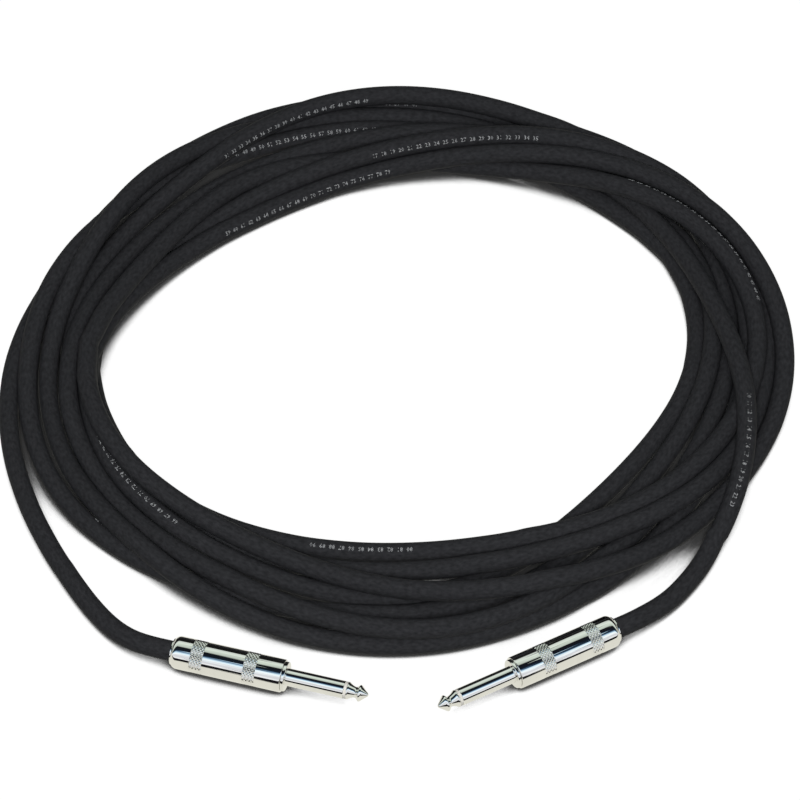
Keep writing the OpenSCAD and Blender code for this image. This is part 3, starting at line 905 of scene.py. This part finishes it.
class CABLE_OT_fingers(bpy.types.Operator):
    """Turn the fingers of the two plugs: threaded sleeves, insulating rings and tips"""
    bl_idname = "cable.fingers"
    bl_label = "Fingers"

    def execute(self, context):
        settings = context.scene.cable_plug
        nickel = material_named("Nickel plate", nickel_plate)
        nylon = material_named("White nylon", white_nylon)
        for plug in PLUGS:
            pieces = (
                ("sleeve_contact_", "nickel_plate",
                 turned("sleeve_" + plug, plug, sleeve_profile(settings), nickel,
                        settings.sides, relief=thread(settings))),
                ("tip_contact_", "nickel_plate",
                 turned("tip_" + plug, plug, tip_profile(settings), nickel, settings.sides,
                        closed=False)),
                ("tip_insulator_", "white_nylon",
                 turned("ring_" + plug, plug, ring_profile(), nylon, settings.sides)),
            )
            for node, slot, piece in pieces:
                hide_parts(node + plug)
                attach(piece, "cable")
        return {"FINISHED"}


INNER_FINISHES = {
    "liner": ("Clear nylon", clear_nylon),
    "rod_insulator": ("White nylon", white_nylon),
    "terminal_washer": ("White nylon", white_nylon),
    "ground_terminal": ("Brass sheet", brass_sheet),
    "tip_terminal": ("Brass sheet", brass_sheet),
    "tip_lead": ("Red insulation", red_insulation),
    "ground_lead": ("Black insulation", black_insulation),
    "tip_core": ("Bare copper", bare_copper),
    "ground_core": ("Bare copper", bare_copper),
    "tip_solder": ("Soft solder", soft_solder),
    "ground_solder": ("Soft solder", soft_solder),
}


class CABLE_OT_inner_parts(bpy.types.Operator):
    """Give the terminals, insulators, conductors and solder joints in the plugs their finish"""
    bl_idname = "cable.inner_parts"
    bl_label = "Inner parts"

    def execute(self, context):
        for plug in PLUGS:
            for part, (name, make) in INNER_FINISHES.items():
                mesh = frame["nodes"][f"{part}_{plug}"].data
                mesh.materials.clear()
                mesh.materials.append(material_named(name, make))
                mesh.shade_smooth()
                mesh.set_sharp_from_angle(angle=radians(30))
        return {"FINISHED"}


# ---------- stage ----------
# How light the paper is to matt rays and where it is seen, how light the studio is to matt
# surfaces, the paper's colour as bright metal sees it, and the dark past its front edge.
PAPER_MATT, PAPER_SEEN, STUDIO_MATT = 0.12, 0.06, 0.14
PAPER_GLOSSY = (0.8, 0.79, 0.71)
PAPER_PAST = (0.01, 0.01, 0.012)
PAPER_FADE = 4 * MM
# Painted contact shade: the paper's glow dims where little open sky reaches it, between cords and
# at their feet.  How far it reaches, and the openness at which it begins and ends.
SHADE_REACH, SHADE_SAMPLES = 14 * MM, 16
SHADE_FROM, SHADE_TO, SHADE_TOP = 0.36, 0.5, 0.97


def grey(value):
    return (value, value, value, 1)


def feed(tree, socket, value):
    """Give a socket a link from another one, or a plain value."""
    if isinstance(value, bpy.types.NodeSocket):
        tree.links.new(value, socket)
    else:
        socket.default_value = value


def combined(tree, operation, *values):
    """Output of a Math node."""
    node = tree.nodes.new("ShaderNodeMath")
    node.operation = operation
    for socket, value in zip(node.inputs, values):
        feed(tree, socket, value)
    return node.outputs["Value"]


def spread(tree, value, first, last, top=1.0):
    """Output of a Map Range node that takes the value from first..last to 0..top."""
    node = tree.nodes.new("ShaderNodeMapRange")
    node.inputs["From Min"].default_value = first
    node.inputs["From Max"].default_value = last
    node.inputs["To Max"].default_value = top
    tree.links.new(value, node.inputs["Value"])
    return node.outputs["Result"]


def mixed(tree, factor, first, second):
    """Output of a shader mix."""
    node = tree.nodes.new("ShaderNodeMixShader")
    for socket, value in zip(node.inputs, (factor, first, second)):
        tree.links.new(value, socket)
    return node.outputs["Shader"]


def tinted(tree, factor, first, second):
    """Output of a colour mix."""
    node = tree.nodes.new("ShaderNodeMix")
    node.data_type = "RGBA"
    for name, value in (("Factor", factor), ("A", first), ("B", second)):
        feed(tree, node.inputs[name], value)
    return node.outputs["Result"]


def paper_material(settings):
    """White paper: pure white where it is seen, but for painted shade in its glow between and
    beside the cords, plain to light, and dark past its front edge.
    """
    material = bpy.data.materials.new("White paper")
    material.use_nodes = True
    tree = material.node_tree
    nodes, links = tree.nodes, tree.links
    nodes.clear()
    output = nodes.new("ShaderNodeOutputMaterial")
    rays = nodes.new("ShaderNodeLightPath").outputs
    glossy = rays["Is Glossy Ray"]
    matt, seen = nodes.new("ShaderNodeBsdfDiffuse"), nodes.new("ShaderNodeBsdfDiffuse")
    matt.inputs["Color"].default_value = grey(PAPER_MATT)
    seen.inputs["Color"].default_value = grey(PAPER_SEEN)
    # Painted shade: the glow that the camera sees dims with ambient occlusion, so slits between
    # cords and their feet turn dark.
    shade = nodes.new("ShaderNodeAmbientOcclusion")
    shade.samples = SHADE_SAMPLES
    shade.inputs["Distance"].default_value = SHADE_REACH
    open_sky = spread(tree, shade.outputs["AO"], SHADE_FROM, SHADE_TO, SHADE_TOP)
    glow, both = nodes.new("ShaderNodeEmission"), nodes.new("ShaderNodeAddShader")
    links.new(tinted(tree, glossy, grey(1), (*PAPER_GLOSSY, 1)), glow.inputs["Color"])
    links.new(combined(tree, "MAXIMUM", open_sky, glossy), glow.inputs["Strength"])
    links.new(seen.outputs["BSDF"], both.inputs[0])
    links.new(glow.outputs["Emission"], both.inputs[1])
    lit = combined(tree, "MAXIMUM", rays["Is Camera Ray"], glossy)
    lit = combined(tree, "MAXIMUM", lit, rays["Is Transmission Ray"])
    paper = mixed(tree, lit, matt.outputs["BSDF"], both.outputs["Shader"])
    place, split = nodes.new("ShaderNodeTexCoord"), nodes.new("ShaderNodeSeparateXYZ")
    links.new(place.outputs["Object"], split.inputs["Vector"])
    edge = spread(tree, split.outputs["Y"], settings.paper_front - PAPER_FADE, settings.paper_front)
    front = combined(tree, "MULTIPLY", combined(tree, "SUBTRACT", 1, edge), glossy)
    past = nodes.new("ShaderNodeEmission")
    past.inputs["Color"].default_value = (*PAPER_PAST, 1)
    links.new(mixed(tree, front, paper, past.outputs["Emission"]), output.inputs["Surface"])
    return material


# What bright metal sees of the studio, by degrees from the front horizon up over the object.
STUDIO = [
    (0, (0.01, 0.01, 0.012)), (10, (0.01, 0.01, 0.012)), (12, (1.15, 1.17, 1.2)),
    (24, (0.8, 0.82, 0.88)), (36, (0.8, 0.82, 0.88)), (48, (1.15, 1.25, 1.3)),
    (57, (0.7, 0.95, 1.15)), (65, (0.1, 0.2, 0.35)), (70, (0.008, 0.014, 0.026)),
    (97, (0.008, 0.008, 0.01)), (101, (0.55, 0.62, 0.56)), (124, (0.85, 0.95, 0.86)),
    (138, (0.7, 0.76, 0.72)), (143, (0.01, 0.01, 0.01)), (180, (0.01, 0.01, 0.01)),
]


def studio_world():
    """White to the camera, dim to matt surfaces, and soft boxes with dark gaps to bright metal."""
    world = bpy.data.worlds.new("Studio")
    world.use_nodes = True
    tree = world.node_tree
    nodes, links = tree.nodes, tree.links
    rays = nodes.new("ShaderNodeLightPath").outputs
    place, split = nodes.new("ShaderNodeTexCoord"), nodes.new("ShaderNodeSeparateXYZ")
    links.new(place.outputs["Generated"], split.inputs["Vector"])
    flip = combined(tree, "MULTIPLY", split.outputs["Y"], -1)
    turn = combined(tree, "ARCTAN2", split.outputs["Z"], flip)
    ramp = nodes.new("ShaderNodeValToRGB")
    stops = ramp.color_ramp.elements
    while len(stops) < len(STUDIO):
        stops.new(0.5)
    for stop, (degrees, colour) in zip(stops, STUDIO):
        stop.position = degrees / 180
        stop.color = (*colour, 1)
    links.new(combined(tree, "DIVIDE", turn, np.pi), ramp.inputs["Fac"])
    metal = tinted(tree, rays["Is Glossy Ray"], grey(STUDIO_MATT), ramp.outputs["Color"])
    seen = tinted(tree, rays["Is Camera Ray"], metal, grey(1))
    links.new(seen, nodes["Background"].inputs["Color"])
    return world


def soft_box(name, place, target, size, power):
    """A square lamp that faces a point."""
    lamp = bpy.data.lights.new(name, "AREA")
    lamp.shape, lamp.size, lamp.energy = "SQUARE", size, power
    piece = bpy.data.objects.new(name, lamp)
    piece.location = place
    piece.rotation_euler = (Vector(target) - Vector(place)).to_track_quat("-Z", "Y").to_euler()
    piece.visible_glossy = False
    bpy.context.scene.collection.objects.link(piece)


# Place of each soft box from what the camera looks at, and its size, in metres.
KEY_PLACE, KEY_SIZE = (0, -1.45, 1.5), 0.6
TOP_PLACE, TOP_SIZE = (-0.2, 0.1, 1.9), 1.2
PAPER_REACH = 4.0


class CABLE_OT_stage(bpy.types.Operator):
    """Set up the camera, the white paper, the soft boxes and the studio round them"""
    bl_idname = "cable.stage"
    bl_label = "Stage"

    def execute(self, context):
        settings = context.scene.cable_stage
        target = Vector((settings.target_x, settings.target_y, 0))
        away = Vector((0, -np.cos(settings.elevation), np.sin(settings.elevation)))
        camera = bpy.data.objects.new("camera", bpy.data.cameras.new("camera"))
        camera.data.lens = settings.lens
        camera.data.sensor_width = 36
        camera.location = target + away * settings.distance
        camera.rotation_euler = (radians(90) - settings.elevation, 0, 0)
        context.scene.collection.objects.link(camera)
        context.scene.camera = camera
        ends = (-PAPER_REACH, PAPER_REACH)
        corners = [(x, y, 0) for y, row in zip(ends, (ends, ends[::-1])) for x in row]
        mesh = bpy.data.meshes.new("paper")
        mesh.from_pydata(corners, [], [(0, 1, 2, 3)])
        mesh.materials.append(paper_material(settings))
        paper = bpy.data.objects.new("paper", mesh)
        context.scene.collection.objects.link(paper)
        soft_box("key", target + Vector(KEY_PLACE), target, KEY_SIZE, settings.key)
        soft_box("top", target + Vector(TOP_PLACE), target, TOP_SIZE, settings.top)
        context.scene.world = studio_world()
        context.scene.view_settings.view_transform = "Standard"
        return {"FINISHED"}


class CABLE_PT_panel(bpy.types.Panel):
    """Buttons for each group of pieces, and their settings"""
    bl_idname = "CABLE_PT_panel"
    bl_label = "Instrument Cable"
    bl_space_type = "VIEW_3D"
    bl_region_type = "UI"
    bl_category = "Cable"

    def draw(self, context):
        for operator in OPERATORS:
            self.layout.operator(operator.bl_idname)
        for group in SETTINGS:
            settings = getattr(context.scene, group)
            box = self.layout.box()
            for name in settings.__annotations__:
                box.prop(settings, name)


OPERATORS = (CABLE_OT_stage, CABLE_OT_barrels, CABLE_OT_fingers, CABLE_OT_inner_parts,
             CABLE_OT_cord, CABLE_OT_print)
SETTINGS = {"cable_stage": StageSettings, "cable_coil": CoilSettings, "cable_cord": CordSettings,
            "cable_plug": PlugSettings}
CLASSES = (*SETTINGS.values(), *OPERATORS, CABLE_PT_panel)


def register():
    for item in CLASSES:
        bpy.utils.register_class(item)
    for name, group in SETTINGS.items():
        setattr(bpy.types.Scene, name, PointerProperty(type=group))


def unregister():
    for name in SETTINGS:
        delattr(bpy.types.Scene, name)
    for item in reversed(CLASSES):
        bpy.utils.unregister_class(item)


def main():
    """Makes every piece in order."""
    register()
    bpy.ops.cable.stage()
    bpy.ops.cable.barrels()
    bpy.ops.cable.fingers()
    bpy.ops.cable.inner_parts()
    bpy.ops.cable.cord()
    bpy.ops.cable.print()


if __name__ == "__main__":
    main()
